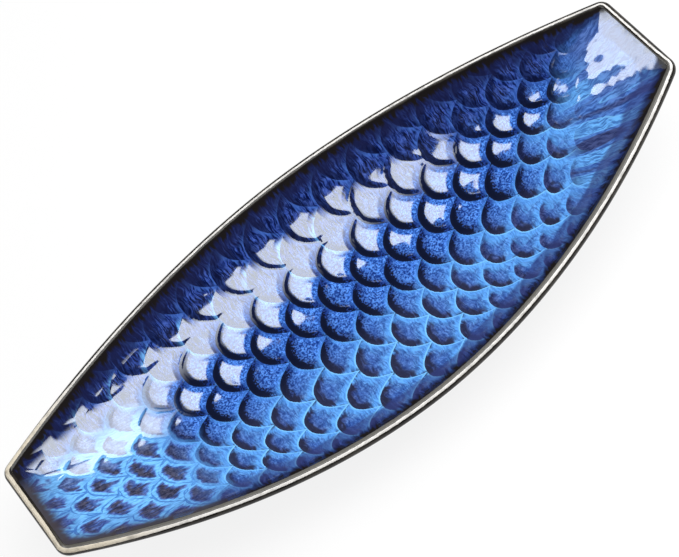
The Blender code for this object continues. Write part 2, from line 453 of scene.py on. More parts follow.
# blue glaze of the well, pressed into rows of fish scales
scaleGlaze = {
    "ior": 1.7,
    "gloss": 1.0,
    "dullness": -0.035,             # added to the roughness of the glaze's skin
    "skinDepth": 0.00001,
    "mirrorTint": (0.88, 0.94, 1.0),
    "gridSteps": (460, 190),        # top face, along and across
    "underSteps": (64, 32),         # hidden underside
    "crowding": 0.75,               # how much the grid closes up at both ends, of a quarter turn
    # the pressed pattern, in metres
    "pitch": 0.0208,                # scale to scale along a row at mid-length
    "rows": 5.45,                   # from the centre line to the rim
    "shift": -0.0031,               # where the first scale tip stands along X
    "lean": 0.0005,                 # how much further towards -X each row stands than the last
    "endSize": 0.9,                 # pitch at the ends against mid-length
    "rowShift": 0.113,              # how far the first row stands off the centre line, in rows
    "rowBow": 0.92,                 # how far the rows swing towards +Y at both ends, in rows
    "curve": 2.7,                   # power of a scale's rounded edge
    "relief": 0.0012,               # raised edge over its groove
    "sway": 0.0023,                 # how unevenly the pattern was pressed along X
    "swayLength": 0.14,             # of one wave of it
    "swayStart": 0.010,             # where a wave starts on the centre line
    "swaySlant": 0.013,             # how much sooner it starts with each row
    "swayFade": 0.22,               # share of it that is lost with each row
    "uneven": 0.14,                 # how much the scales differ in height
    "unevenTurns": ((2.7, 1.3), (-0.9, 2.2)),       # of two waves of it, for each pitch and row
    "lipWidth": 0.0032,             # how far the raised edge takes to rise
    "grooveWidth": 0.0040,          # how far a scale takes to come up out of the groove behind it
    "grooveDepth": 0.35,            # share of its height that it loses there
    "grooveMeet": 0.0022,           # rounding where two grooves meet
    "backSlope": 0.5,               # share of its height that a scale loses over a pitch
    "fade": (0.88, 0.98),           # relief dies out here, as a share of the well
    "melt": (0.118, 0.142),         # scales run into streaks here, towards the right end
    "meltSlant": 0.034,             # and this much later at the far rim
    "streakRelief": 0.00016,
    "streakTurns": ((430, 150), (-110, 460)),       # of two waves of it, for each metre along and across
    "leftFrom": (0.09, 0.13),       # the relief changes here towards the left end
    "wallFrom": (0.25, 0.55),       # and here towards both walls, as a share of the half width
    "leftRelief": 0.08,             # how much of the relief is left at the left end
    "farRelief": 0.55,              # and on the far wall
    "nearRelief": 0.65,             # and on the near wall
    "dome": 0.00016,                # scales of the far wall and the left end are domed
    "smoothRow": 3,                 # this row came out without a groove in front of it
    "smoothPart": (0.032, 0.012),   # from here to the left end
    "smoothRise": 0.010,            # how far its edge takes to rise
    "smoothFoot": 0.4,              # share of its height from which that rises at least
    # where each glaze sets in and is whole, as shares of the half width or in millimetres along
    "nearGlaze": (-0.02, -0.36),
    # the far wall: its own hairs, and colours painted darker there as painted shade
    "farGlazeAndShade": (0.32, 0.64),
    "leftGlaze": (-90.0, -122.0),
    "rightGlaze": (90.0, 120.0),    # here the near wall's glaze reaches further up
    "rightBreadth": (0.30, 0.0),    # to this share of the half width
    "brightEnd": (140.0, 155.0),    # wet patch in the middle of the right end
    "brightNear": (-20.0, -15.0),
    "brightFar": (24.0, 19.0),
    "netBreadth": (0.20, 0.0),      # seamed part of the left end
    # how it is drawn, in millimetres
    "fan": (78.0, 22.0),            # streaks run out from here
    "fanBreadth": 60.0,             # for each radian
    "hairSpacing": 0.85,
    "wallRun": 4.6,                 # length of the hairs on the walls
    "endRun": 5.4,                  # and at the ends
    "poolWidth": 0.9,               # to both sides of a groove
    "wallPool": 1.7,                # wider by this on the near wall
    "slantPool": (1.5, -1.1),       # and by this below and above the scales towards the right
    "poolSoft": (0.4, 1.2),         # on the floor and where the melt is loose
    "crestWidth": (3.9, 3.0),       # dark crescent at a scale's tip, on the floor and the near wall
    "crestFull": (0.42, 0.50),      # as wide up to here, in rows from the tip
    "crestEnd": (0.98, 0.80),       # and gone from here
    "crestSoft": (0.5, 1.4),        # on the floor and where the melt is loose
    "netWidth": (2.2, 1.3),
    "seamWidth": (0.45, 0.15),
    "dryEdge": (4.2, 3.0),          # less gloss this near to a raised edge
    "dullPool": (3.0, 2.2),         # and to a groove
    # bands under the rim: where each sets in and is whole, and how strong it is there
    "duskBand": (13.0, 10.5, 0.72),
    "leftDuskBand": (19.0, 3.5, 0.40),
    "navyBand": (6.5, 3.0, 0.85),
    "farNavyBand": (11.0, 4.0, 0.85),
    "rustBand": (3.5, 1.2, 1.0),
    "taupeBand": (7.0, 1.0, 0.85),
    # what a colour is multiplied by at its dimmest and brightest
    "mottleTint": ((0.72, 0.76, 0.84), (1.25, 1.2, 1.12)),
    "grainTint": ((0.20, 0.28, 0.45), (1.9, 1.7, 1.45)),
    "hairTint": ((0.58, 0.60, 0.68), (1.35, 1.3, 1.2)),
    "farHairTint": ((0.35, 0.38, 0.45), (2.6, 2.5, 2.2)),
    "poolTint": ((0.72, 0.74, 0.80), (1.2, 1.15, 1.1)),
    "streakTint": ((0.50, 0.53, 0.62), (1.6, 1.5, 1.3)),
    "farStreakTint": ((0.55, 0.58, 0.66), (1.6, 1.5, 1.3)),
    "brightTint": ((0.55, 0.58, 0.66), (1.5, 1.4, 1.25)),
    # colours
    "royal": (0.044, 0.150, 0.55),
    "shade": (0.010, 0.030, 0.17),
    "sky": (0.055, 0.205, 0.60),
    # sky painted darker towards the far wall: painted shade
    "shadedSky": (0.024, 0.085, 0.35),
    "black": (0.006, 0.009, 0.028),
    "wallBlue": (0.056, 0.145, 0.48),
    "wallShade": (0.042, 0.062, 0.20),
    "wallSky": (0.100, 0.325, 0.78),
    # painted highlight colour for thin pale lines
    "paleLineAndGlint": (0.200, 0.54, 0.96),
    "brown": (0.022, 0.024, 0.048),
    # the far wall's blue and sky are darker copies of the floor's: painted shade
    "shadedFarBlue": (0.012, 0.028, 0.15),
    "shadedFarSky": (0.046, 0.120, 0.44),
    "farBlack": (0.005, 0.008, 0.036),
    "umber": (0.052, 0.056, 0.105),
    "violet": (0.080, 0.155, 0.47),
    "lilac": (0.120, 0.215, 0.50),
    "endSky": (0.170, 0.49, 0.94),
    "seam": (0.040, 0.150, 0.48),
    "streakBlue": (0.062, 0.17, 0.54),
    "streakBrown": (0.036, 0.055, 0.18),
    "dusk": (0.032, 0.046, 0.17),
    "navy": (0.011, 0.014, 0.058),
    "rust": (0.012, 0.010, 0.010),
    "taupe": (0.058, 0.049, 0.048),
}


def scaleEdge(across):
    # how far a scale's rounded edge falls back from its tip, in pitches
    return 0.5 * across ** scaleGlaze["curve"]


def scalePlace(x, y):
    # lattice of the scales: pitches along, rows across, and their size against mid-length
    swing = scaleGlaze["rowBow"] * (x / boat["halfLength"]) ** 2
    across = y * scaleGlaze["rows"] / sideHalf(x) + scaleGlaze["rowShift"] - swing
    start = scaleGlaze["swayStart"] - scaleGlaze["swaySlant"] * across
    turn = 2 * math.pi * (x - start) / scaleGlaze["swayLength"]
    slip = scaleGlaze["sway"] * (1 - scaleGlaze["swayFade"] * across) * np.sin(turn)
    flat = (x + slip - scaleGlaze["shift"] + scaleGlaze["lean"] * across) / scaleGlaze["pitch"]
    span = 3 * boat["halfLength"] / scaleGlaze["pitch"] / (2 + scaleGlaze["endSize"])
    steps = np.linspace(-1.2, 1.2, 241) * span                   # a little past both ends
    sizes = 1 - (1 - scaleGlaze["endSize"]) * np.clip(steps / span, -1, 1) ** 2
    along = np.interp(flat, steps * (2 + sizes) / 3, steps)
    return along, across, np.interp(along, steps, sizes)


def softMin(one, other, rounding):
    low = np.minimum(one, other)
    return low - rounding * np.log1p(np.exp(-np.abs(one - other) / rounding))


def eased(value, low, high):
    share = np.clip((value - low) / (high - low), 0, 1)
    return share * share * (3 - 2 * share)


def crossWaves(u, v, turns):
    # two waves that run across each other
    (oneU, oneV), (otherU, otherV) = turns
    return np.sin(u * oneU + v * oneV) * np.sin(u * otherU + v * otherV)


def scaleMelt(x, y):
    # how far the scales have run into streaks
    slant = scaleGlaze["meltSlant"] * y / sideHalf(x)
    return eased(x - slant, *scaleGlaze["melt"])


def smoothScale(x, row):
    # 1 on the scales without a groove in front of them
    return (row == scaleGlaze["smoothRow"]) * eased(x, *scaleGlaze["smoothPart"])


def scaleLift(x, y, share):
    along, across, size = scalePlace(x, y)
    row = np.floor(across)
    side = across - row
    ownEdge, nextEdge = scaleEdge(side), scaleEdge(1 - side)
    step = (along - 0.5 * (row % 2) - ownEdge) % 1
    ownLength = 0.5 + nextEdge - ownEdge
    other = step > ownLength
    mine = np.where(other, 1 - side, side)              # rows across from the scale's middle
    step = np.where(other, step - ownLength, step)      # pitches behind its raised edge
    pitch = scaleGlaze["pitch"] * size
    slope = 0.5 * scaleGlaze["curve"] * pitch * scaleGlaze["rows"] / sideHalf(x)

    def squareTo(way, steps):
        # steps along, turned into the distance square to a rounded edge
        return steps * pitch / np.hypot(1, slope * way ** (scaleGlaze["curve"] - 1))

    # a scale rises at its edge, slopes down behind it and sinks into the groove before the next one
    lip = squareTo(mine, step)
    behind = step + scaleEdge(mine)
    grooves = [squareTo(way, 0.5 + scaleEdge(way) - behind) for way in (1 - mine, 1 + mine)]
    groove = np.clip(softMin(*grooves, scaleGlaze["grooveMeet"]) / scaleGlaze["grooveWidth"], 0, 1)
    depth = scaleGlaze["grooveDepth"] * (1 - smoothScale(x, row + 1 - other))
    sunk = (1 - scaleGlaze["backSlope"] * step) * (1 - depth * (1 - groove) ** 2)
    rise = eased(lip, 0, scaleGlaze["lipWidth"]) * sunk

    # the smooth row rises gently from the height of the scale in front
    before = 0.5 + scaleEdge(mine) - scaleEdge(1 - mine)         # length of that scale, in pitches
    level = eased(squareTo(1 - mine, before), 0, scaleGlaze["lipWidth"])
    level = np.maximum(level * (1 - scaleGlaze["backSlope"] * before), scaleGlaze["smoothFoot"])
    gentle = level + (sunk - level) * eased(lip, 0, scaleGlaze["smoothRise"])
    lift = scaleGlaze["relief"] * (rise + (gentle - rise) * smoothScale(x, row + other))

    # thick glaze fills the relief at the left end and on the walls
    breadth = y / sideHalf(x)
    left = eased(-x, *scaleGlaze["leftFrom"])
    far, near = [eased(way, *scaleGlaze["wallFrom"]) for way in (breadth, -breadth)]
    for where, kept in ((left, "leftRelief"), (far, "farRelief"), (near, "nearRelief")):
        lift = lift * (1 - (1 - scaleGlaze[kept]) * where)
    lift = lift * size * (1 + scaleGlaze["uneven"] * crossWaves(along, across, scaleGlaze["unevenTurns"]))
    nearest = np.minimum(*grooves)
    dome = 4 * lip * nearest / np.maximum(lip + nearest, tiny) ** 2 * (1 - mine ** 2)
    lift = lift + scaleGlaze["dome"] * dome * np.maximum(far, left)
    melt = scaleMelt(x, y)
    streaks = scaleGlaze["streakRelief"] * crossWaves(x, y, scaleGlaze["streakTurns"])
    start, end = scaleGlaze["fade"]
    fade = np.clip((end - share) / (end - start), 0, 1)
    return fade * (lift * (1 - melt) + streaks * melt)


def wellGrid(bm, steps):
    # a square grid drawn out to the well's outline
    verts = bmesh.ops.create_grid(bm, x_segments=steps[0], y_segments=steps[1], size=1.0)["verts"]
    flat = np.array([vert.co for vert in verts])
    reach = boat["halfLength"] - rimBand
    quarter = math.pi / 2 * scaleGlaze["crowding"]
    x = reach * np.sin(flat[:, 0] * quarter) / math.sin(quarter)
    upper = fineEdge[fineEdge[:, 1] > 0]
    upper = upper[np.argsort(upper[:, 0], kind="stable")]
    ends = np.abs(upper[:, 0]) >= reach - tiny
    corner = upper[ends][:, 1].max()
    lineX = np.concatenate([[-reach], upper[~ends][:, 0], [reach]])
    lineY = np.concatenate([[corner], upper[~ends][:, 1], [corner]])
    return verts, x, flat[:, 1] * np.interp(x, lineX, lineY)


def scaleGlazeMesh():
    bm = bmesh.new()
    placeLayer = bm.verts.layers.float_vector.new("scalePlace")
    sizeLayer = bm.verts.layers.float_vector.new("scaleSize")
    meltLayer = bm.verts.layers.float.new("scaleMelt")
    verts, x, y = wellGrid(bm, scaleGlaze["gridSteps"])
    share = np.minimum(wellShare(x, y)[0], 1.0)
    gap = edgeGap(x, y)
    z = softHeight(x, y, gap) + scaleLift(x, y, share)
    along, across, size = scalePlace(x, y)
    melt = scaleMelt(x, y)
    pitch = scaleGlaze["pitch"] * size * millimetres
    rowHeight = sideHalf(x) / scaleGlaze["rows"] * millimetres
    breadth = y / sideHalf(x)
    for k, vert in enumerate(verts):
        vert.co = x[k], y[k], z[k]
        vert[placeLayer] = along[k], across[k], gap[k] * millimetres
        vert[sizeLayer] = pitch[k], rowHeight[k], breadth[k]
        vert[meltLayer] = melt[k]
    under, x, y = wellGrid(bm, scaleGlaze["underSteps"])
    z = wellHeight(x, y) - boat["coat"]
    for k, vert in enumerate(under):
        vert.co = x[k], y[k], z[k]
    bmesh.ops.bridge_loops(bm, edges=[edge for edge in bm.edges if edge.is_boundary])
    return bm


def scaleFieldGroup():
    # distances in millimetres to the scale's own raised edge and to the next groove
    inputs = ("Along", "Rows", "Pitch", "RowHeight")
    outputs = ("Lip", "Groove", "Across", "Row", "Upper")
    tree, into, target = newGroup("scaleField", [(label, "Float") for label in inputs],
                                  [(label, "Float") for label in outputs])
    curve = scaleGlaze["curve"]
    pitch = into["Pitch"]
    row = into["Rows"].floor()
    side = into["Rows"] - row
    otherSide = 1.0 - side
    ownEdge = side ** curve * 0.5
    nextEdge = otherSide ** curve * 0.5
    place = into["Along"] - row.math("FLOORED_MODULO", 2.0) * 0.5 - ownEdge
    place = place - place.floor()
    ownLength = nextEdge - ownEdge + 0.5
    other = place.over(ownLength)
    step = place - other * ownLength
    length = between(other, ownLength, 1.0 - ownLength)
    mine = between(other, side, otherSide)
    slope = pitch / into["RowHeight"] * (0.5 * curve)

    def squareTo(way, steps):
        steep = way ** (curve - 1) * slope
        return steps * pitch / (steep * steep + 1.0).math("SQRT")

    feed(target.inputs["Lip"], squareTo(mine, step))
    feed(target.inputs["Groove"], squareTo(1.0 - mine, length - step))
    feed(target.inputs["Across"], mine)
    feed(target.inputs["Row"], row + other)              # the scale's own row
    feed(target.inputs["Upper"], other)                  # whether the groove lies above its scale's middle
    return tree


def scaleGlazeMaterial():
    look = scaleGlaze
    material, tree, shader = newMaterial("scaleGlaze", look)
    along, rows, gap = attribute(tree, "scalePlace")
    pitch, rowHeight, breadth = attribute(tree, "scaleSize")     # breadth: -1 at the near rim, 1 at the far one
    melt = attribute(tree, "scaleMelt")[0]
    field = useGroup(tree, scaleFieldGroup(), Along=along, Rows=rows, Pitch=pitch, RowHeight=rowHeight)
    lip, groove, across, upper = [field[label] for label in ("Lip", "Groove", "Across", "Upper")]
    x, y, _, here = ownPlace(tree)

    # where each kind of melt lies
    right = x.ramp(*look["rightGlaze"]) * breadth.ramp(*look["rightBreadth"])
    near = breadth.ramp(*look["nearGlaze"]).high(right)
    # far wall mask: carries the glaze's own hairs and the painted shade of that wall
    far = breadth.ramp(*look["farGlazeAndShade"])
    left = x.ramp(*look["leftGlaze"]) * (1.0 - far)
    netted = left * breadth.ramp(*look["netBreadth"])
    loose = near.high(far).high(left).high(melt)
    smoothPart = x.ramp(*[edge * millimetres for edge in look["smoothPart"]])

    def smoothRow(row):
        return (row - look["smoothRow"]).math("ABSOLUTE").ramp(0.6, 0.4) * smoothPart

    smooth = smoothRow(field["Row"])
    nextSmooth = smoothRow(field["Row"] - upper * 2.0 + 1.0) * across.ramp(0.0, 0.3)
    rightEnd = x.ramp(*look["brightEnd"])
    side = y + wander(here, 0.16, 1.0, 14.0)
    bright = rightEnd * side.ramp(*look["brightNear"]) * side.ramp(*look["brightFar"])

    # hairs run down the walls along Y, along X at the left end, and fan out at the right end
    fanX, fanY = x - look["fan"][0], y - look["fan"][1]
    radius = (fanX * fanX + fanY * fanY).math("SQRT")
    angle = fanY.math("ARCTAN2", fanX)
    ways = [((y, x), "wallRun"), ((x, y), "endRun"), ((radius, angle * look["fanBreadth"]), "endRun")]
    downWall, alongEnd, fanned = [
        useGroup(tree, hareFur, Place=vector(tree, *way, 0.0), Spacing=look["hairSpacing"], Run=look[run])
        for way, run in ways]
    hair, tuft = [between(melt, between(left, downWall[kind], alongEnd[kind]), fanned[kind])
                  for kind in ("Hair", "Tuft")]
    grain = noise(here, 1.05, 1.0, 0.6).ramp(0.40, 0.60)
    mottle = noise(here, 0.42, 1.0).ramp(0.36, 0.64)
    jitter = between(loose, grain * 1.5 - 0.75, tuft * 2.2 - 1.1)        # frays every border, in millimetres

    # body colour of a scale, darker behind its raised edge
    line = lip.low(groove) + wander(here, 0.22, 2.0, 2.4)
    body = mix(lip.ramp(2.0, 8.0), look["shade"], look["royal"])
    wall = mix(lip.ramp(1.5, 6.0), look["wallShade"], look["wallBlue"])
    wall = mix(groove.ramp(6.0, 2.5) * 0.45, wall, look["wallSky"])
    body = mix(near, body, wall)
    # the far wall's darker body is painted shade
    body = mix(far, body, look["shadedFarBlue"])
    inner = mix((line + jitter * 0.6).ramp(3.6, 2.0), look["umber"], look["violet"])
    # under the reflection at the left end each scale is darker by its raised edge and lighter towards its
    # groove: painted shade
    inner = mix(left - netted, inner, mix(lip.ramp(0.5, 8.0), look["wallShade"], look["lilac"]))
    body = mix(left, body, inner)
    body = tint(body, mottle, *look["mottleTint"])
    body = mix(1.0 - loose * 0.75, body, tint(body, grain, *look["grainTint"]))
    body = mix(loose, body, tint(body, hair, *look["hairTint"]))
    body = mix(far, body, tint(body, hair, *look["farHairTint"]))

    # glaze pools pale in the grooves; paler where three scales meet, partly deeper glaze and partly a painted
    # highlight
    # pools painted darker towards the far wall: painted shade
    sky = mix(breadth.ramp(-0.12, 0.10), look["sky"], look["shadedSky"])
    sky = mix(near, sky, look["wallSky"])
    # painted highlight where three scales meet, over glaze that pools deeper there
    sky = mix(across.ramp(0.86, 1.0) * 0.6, sky, look["wallSky"])
    # the far wall's darker pools are painted shade
    sky = mix(far, sky, look["shadedFarSky"])
    sky = mix(left.high(nextSmooth * 0.75), sky, look["endSky"])
    sky = tint(sky, hair, *look["poolTint"])
    slanted = near * x.ramp(10.0, 80.0)                          # pools lie more and more below the scales
    poolWidth = near * (1.0 - netted) * look["wallPool"] + look["poolWidth"]
    poolWidth = poolWidth + slanted * between(upper, *look["slantPool"])
    pool = (groove + jitter).within(poolWidth, between(loose, *look["poolSoft"]))
    flank = (across + jitter * 0.05).ramp(0.60, 0.80) * near * (1.0 - netted)
    colour = mix(pool.high(flank * 0.9), body, sky)
    # a thin pale cyan line along each groove's edge on the near wall: a painted highlight
    paleLineAndGlint = groove.ramp(0.9, 0.3) * near * (1.0 - slanted * upper) * 0.8
    colour = mix(paleLineAndGlint, colour, look["paleLineAndGlint"])

    # and breaks dark over the raised edges
    dark = mix(near, look["black"], look["brown"])
    dark = mix(far, dark, look["farBlack"])
    crestEnd, crestFull, tipWidth = [
        between(near, *look[label]) for label in ("crestEnd", "crestFull", "crestWidth")]
    crestWidth = across.ramp(crestEnd, crestFull) * tipWidth
    crescent = (lip + jitter).within(crestWidth, between(loose, *look["crestSoft"]))
    # on the smooth row the dark crescent is kept faint: partly thin glaze, partly painted shade behind the
    # gentle edge
    crescent = crescent * (1.0 - left) * (1.0 - near * 0.12) * (1.0 - far * 0.25) * (1.0 - smooth * 0.6)
    colour = mix(crescent * (1.0 - slanted * (1.0 - upper) * 0.8), colour, dark)

    # pale net with a thin dark seam at the left end
    net = (line + jitter * 0.4).ramp(*look["netWidth"])
    colour = mix(net * left, colour, sky)
    seam = line.math("ABSOLUTE").ramp(*look["seamWidth"])
    colour = mix(seam * netted * 0.8, colour, look["seam"])

    # streaks at the right end
    run = noise(vector(tree, radius * 0.022, angle * 9.0, 0.0), 1.0, 0.0, 0.5, 0.25) + jitter * 0.008
    flow = mix(run.ramp(0.33, 0.40), look["streakBrown"], look["streakBlue"])
    flow = mix(run.ramp(0.48, 0.55), flow, look["wallSky"])
    flow = tint(flow, hair, *look["streakTint"])
    # a thin pale line along each streak's edge, in the painted highlight colour
    flow = mix((run - 0.52).math("ABSOLUTE").ramp(0.014, 0.004) * 0.7, flow, look["paleLineAndGlint"])
    # streaks painted darker towards the far side: painted shade
    flow = mix(breadth.ramp(0.10, 0.50) * 0.8, flow, tint(look["shadedSky"], hair, *look["farStreakTint"]))
    flow = mix(bright * 0.75, flow, tint(look["violet"], hair, *look["brightTint"]))
    colour = mix(melt, colour, flow)

    # dark bands under the rim
    rimGap = gap + jitter * (1.0 - left * 0.6) + bright * 4.0
    tide = gap + wander(here, 0.045, 1.0, 12.0) + bright * 4.0

    def band(distance, start, full, strength):
        return distance.ramp(start, full) * strength

    dusk = [between(left, *pair) for pair in zip(look["duskBand"], look["leftDuskBand"])]
    navy = [between(far, *pair) for pair in zip(look["navyBand"], look["farNavyBand"])]
    colour = mix(band(tide, *dusk) * (1.0 - far), colour, look["dusk"])
    colour = mix(band(rimGap + left * 2.0, *navy), colour, look["navy"])
    colour = mix(band(rimGap, *look["rustBand"]) * (1.0 - left), colour, look["rust"])
    colour = mix(band(rimGap, *look["taupeBand"]) * left, colour, look["taupe"])

    # thin glaze on the raised edges is dry, and the pools are duller than the scales
    floor = (1.0 - far).high(breadth.ramp(0.60, 0.72)).high(x.ramp(70.0, 90.0))
    floor = floor * (1.0 - left + netted) * (1.0 - melt)
    dryEdge = lip.ramp(*look["dryEdge"]) * (1.0 - smooth)
    dullPool = groove.ramp(*look["dullPool"]) * (1.0 - nextSmooth)
    underRim = (gap + jitter * 0.5).ramp(4.0, 2.5) * (1.0 - left) * (1.0 - bright) * 0.8
    dull = dryEdge.high(dullPool) * floor
    dull = dull.high(breadth.ramp(0.72, 0.80)).high(underRim).high((rightEnd - bright) * 0.9)
    feed(shader.inputs["Specular IOR Level"], (1.0 - dull) * look["gloss"])
    feed(shader.inputs["Specular Tint"], look["mirrorTint"])
    dressGlaze(tree, shader, look, here, colour)
    return material


finishPiece("scaleGlazePiece", scaleGlazeMesh(), "scale_glaze", scaleGlazeMaterial(), sharp=70)

# dark coat that runs thin over the lip
rimGlaze = {
    "ior": 1.6,
    "gloss": 0.25,
    "dullness": 0.03,
    "skinDepth": 0.0001,
    "lipSteps": 22,
    "innerSteps": 5,
    "nearSide": (-10.0, -35.0),     # across, in millimetres
    "leftEnd": (-120.0, -165.0),    # along
    "crestLow": (0.15, 0.28),       # pale crest round the lip, on the far and the near side: partly clay showing through thin glaze, partly a painted highlight
    "crestHigh": (0.26, 0.43),
    "leftCrest": 0.16,              # and this much wider at the left end
    "black": (0.010, 0.009, 0.008),
    "olive": (0.050, 0.044, 0.036),
    "grey": (0.16, 0.155, 0.14),
    # partly the clay's colour, partly a painted highlight
    "boneAndGlint": (0.84, 0.82, 0.79),
    "cream": (0.74, 0.67, 0.54),
}


def rimGlazeMesh():
    # each point keeps its place round the lip, from 0 on the well's side to 1 outside
    face = lipRings(boat["lipRadius"], rimGlaze["lipSteps"])
    hidden = lipRings(boat["lipRadius"] - boat["coat"], rimGlaze["innerSteps"])[::-1]
    bm = pullRings(face + hidden, closed=True)
    turnLayer = bm.verts.layers.float.new("lipTurn")
    turns = np.concatenate([np.linspace(0, 1, len(face)), np.linspace(1, 0, len(hidden))])
    for vert, turn in zip(bm.verts, np.repeat(turns, len(stations))):
        vert[turnLayer] = turn
    return bm


def rimGlazeMaterial():
    look = rimGlaze
    material, tree, shader = newMaterial("rimGlaze", look)
    x, y, _, here = ownPlace(tree)
    turn = attribute(tree, "lipTurn")[0] + wander(here, 0.4, 2.0, 0.05)
    leftEnd = x.ramp(*look["leftEnd"])
    nearSide = y.ramp(*look["nearSide"])
    patch = noise(here, 0.09, 3.0, 0.6).ramp(0.36, 0.66)
    wear = noise(here, 0.22, 3.0, 0.6).ramp(0.25, 0.60)
    colour = mix(patch * 0.7, look["black"], look["olive"])
    low = between(nearSide, *look["crestLow"])
    high = between(nearSide, *look["crestHigh"]) + leftEnd * look["leftCrest"] * (1.0 - nearSide * 0.4)
    inside = turn.ramp(0.02, 0.06) * turn.ramp(low - 0.01, low - 0.04) * nearSide
    colour = mix(inside * 0.8, colour, look["grey"])
    # pale crest along the lip: clay showing where the glaze runs thin, together with a painted highlight
    crest = turn.ramp(low, low + 0.02) * turn.ramp(high + 0.03, high)
    pale = mix(leftEnd, look["boneAndGlint"], look["cream"])
    colour = mix(crest * (wear * 0.35 + 0.6), colour, pale)
    dressGlaze(tree, shader, look, here, colour)
    return material


finishPiece("rimGlazePiece", rimGlazeMesh(), "rim_glaze", rimGlazeMaterial())

# coat on the back, from under the lip to the bare strip round the foot
outsideGlaze = {
    "ior": 1.6,
    "gloss": 1.0,
    "dullness": 0.0,
    "skinDepth": 0.0001,
    "hairSpacing": 0.8,
    "hairRun": 5.0,                 # length of the hairs
    "rings": 26,
    "bareStrip": 0.0025,            # clay left bare beside the foot
    "navy": (0.012, 0.020, 0.085),
    "ink": (0.006, 0.007, 0.016),
    "sky": (0.035, 0.11, 0.38),
}
foot = {
    "halfLength": 0.095,
    "halfBreadth": 0.037,
    "width": 0.0065,                # where it leaves the back
    "taper": 0.0009,                # narrower by this on both sides at the table
    "round": 0.0007,                # its worn edges
}


def footPlan(shrink):
    angle = np.arctan2(stations[:, 1] / boat["halfWidth"], stations[:, 0] / boat["halfLength"])
    return np.column_stack([(foot["halfLength"] - shrink) * np.cos(angle),
                            (foot["halfBreadth"] - shrink) * np.sin(angle)])


def backRings(drop, count):
    last = footPlan(-outsideGlaze["bareStrip"])
    return [shellRing(wellEdge + (last - wellEdge) * share, drop) for share in np.linspace(0, 1, count)]


def outsideGlazeMesh():
    count = outsideGlaze["rings"]
    lean = -boat["lipLean"]
    face = [lipRing(boat["lipRadius"], lean)] + backRings(boat["shell"], count)
    hidden = [lipRing(boat["lipRadius"] - boat["coat"], lean)]
    hidden += backRings(boat["shell"] - boat["coat"], count)
    return pullRings(face + hidden[::-1], closed=True)


def backGlazeMaterial(name, look):
    material, tree, shader = newMaterial(name, look)
    x, y, z, here = ownPlace(tree)
    downWall, alongEnd = [
        useGroup(tree, hareFur, Place=place, Spacing=look["hairSpacing"], Run=look["hairRun"])["Hair"]
        for place in (vector(tree, y, x, z), here)]
    hair = between(x.math("ABSOLUTE").ramp(120.0, 150.0), downWall, alongEnd)
    cloud = noise(here, 0.05, 3.0).ramp(0.3, 0.7)
    low = z.ramp(30.0, 6.0)
    colour = mix(hair * 0.6 + cloud * 0.4, look["ink"], look["navy"])
    colour = mix(low * hair * 0.5, colour, look["sky"])
    dressGlaze(tree, shader, look, here, colour)
    return material


finishPiece("outsideGlazePiece", outsideGlazeMesh(), "outside_glaze",
            backGlazeMaterial("outsideGlaze", outsideGlaze))

# coat in the hollow inside the foot ring
baseGlaze = {
    "ior": 1.6,
    "gloss": 1.0,
    "dullness": 0.0,
    "skinDepth": 0.0001,
    "hairSpacing": 0.8,
    "hairRun": 5.0,
    "rings": 9,
    "middle": 0.03,                 # share of it that the innermost ring closes
    "navy": (0.014, 0.026, 0.11),
    "ink": (0.007, 0.009, 0.022),
    "sky": (0.035, 0.11, 0.38),
}


def baseRings(drop, count):
    last = footPlan(foot["width"] + outsideGlaze["bareStrip"])
    return [shellRing(last * share, drop) for share in np.linspace(baseGlaze["middle"], 1, count)]


def baseGlazeMesh():
    face = baseRings(boat["shell"], baseGlaze["rings"])
    hidden = baseRings(boat["shell"] - boat["coat"], baseGlaze["rings"])
    return pullRings(face + hidden[::-1], closed=False)


finishPiece("baseGlazePiece", baseGlazeMesh(), "base_glaze", backGlazeMaterial("baseGlaze", baseGlaze))

# clay shell, bare only on the foot ring and beside it
stoneware = {
    "ior": 1.45,
    "gloss": 0.4,
    "gritDepth": 0.00025,
    "wellShares": (0.03, 0.2, 0.4, 0.6, 0.75, 0.87, 0.95),       # rings under the well's glaze
    "lipSteps": 6,
    "backRings": 12,
    "roundSteps": 4,
    "buff": (0.56, 0.45, 0.33),
    "toasted": (0.40, 0.27, 0.17),
    "iron": (0.09, 0.055, 0.035),
}


def footRings(back):
    # down the outside, round both worn edges and up the inside
    rings = []
    ends = [(foot["taper"], 1, 0.0), (foot["width"] - foot["taper"], -1, math.pi / 2)]
    for edge, way, start in ends:
        for angle in np.linspace(0, math.pi / 2, stoneware["roundSteps"] + 1):
            turn = abs(start - angle)
            inwards = foot["round"] * (1 - math.cos(turn))
            height = foot["round"] * (1 - math.sin(turn))
            rings.append(levelRing(footPlan(edge + way * inwards), height))
    return [shellRing(footPlan(0.0), back)] + rings + [shellRing(footPlan(foot["width"]), back)]


def stonewareMesh():
    coat = boat["coat"]
    back = boat["shell"] - coat
    rings = [shellRing(wellEdge * share, coat) for share in stoneware["wellShares"]]
    rings += lipRings(boat["lipRadius"] - coat, stoneware["lipSteps"])
    rings += backRings(back, stoneware["backRings"])
    rings += footRings(back)
    rings += baseRings(back, baseGlaze["rings"])[::-1]
    return pullRings(rings, closed=False)


def stonewareMaterial():
    look = stoneware
    material, tree, shader = newMaterial("stoneware", look)
    here = ownPlace(tree)[-1]
    toast = noise(here, 0.15, 3.0, 0.6).ramp(0.35, 0.7)
    speck = noise(here, 1.3, 1.0).ramp(0.68, 0.74)
    grit = noise(here, 3.0, 3.0, 0.7)
    colour = mix(toast * 0.6, look["buff"], look["toasted"])
    colour = mix(speck * 0.8, colour, look["iron"])
    dress(tree, shader, colour, grit * 0.2 + 0.68, grit, look["gritDepth"])
    return material


finishPiece("stonewarePiece", stonewareMesh(), "stoneware_body", stonewareMaterial(), sharp=40)

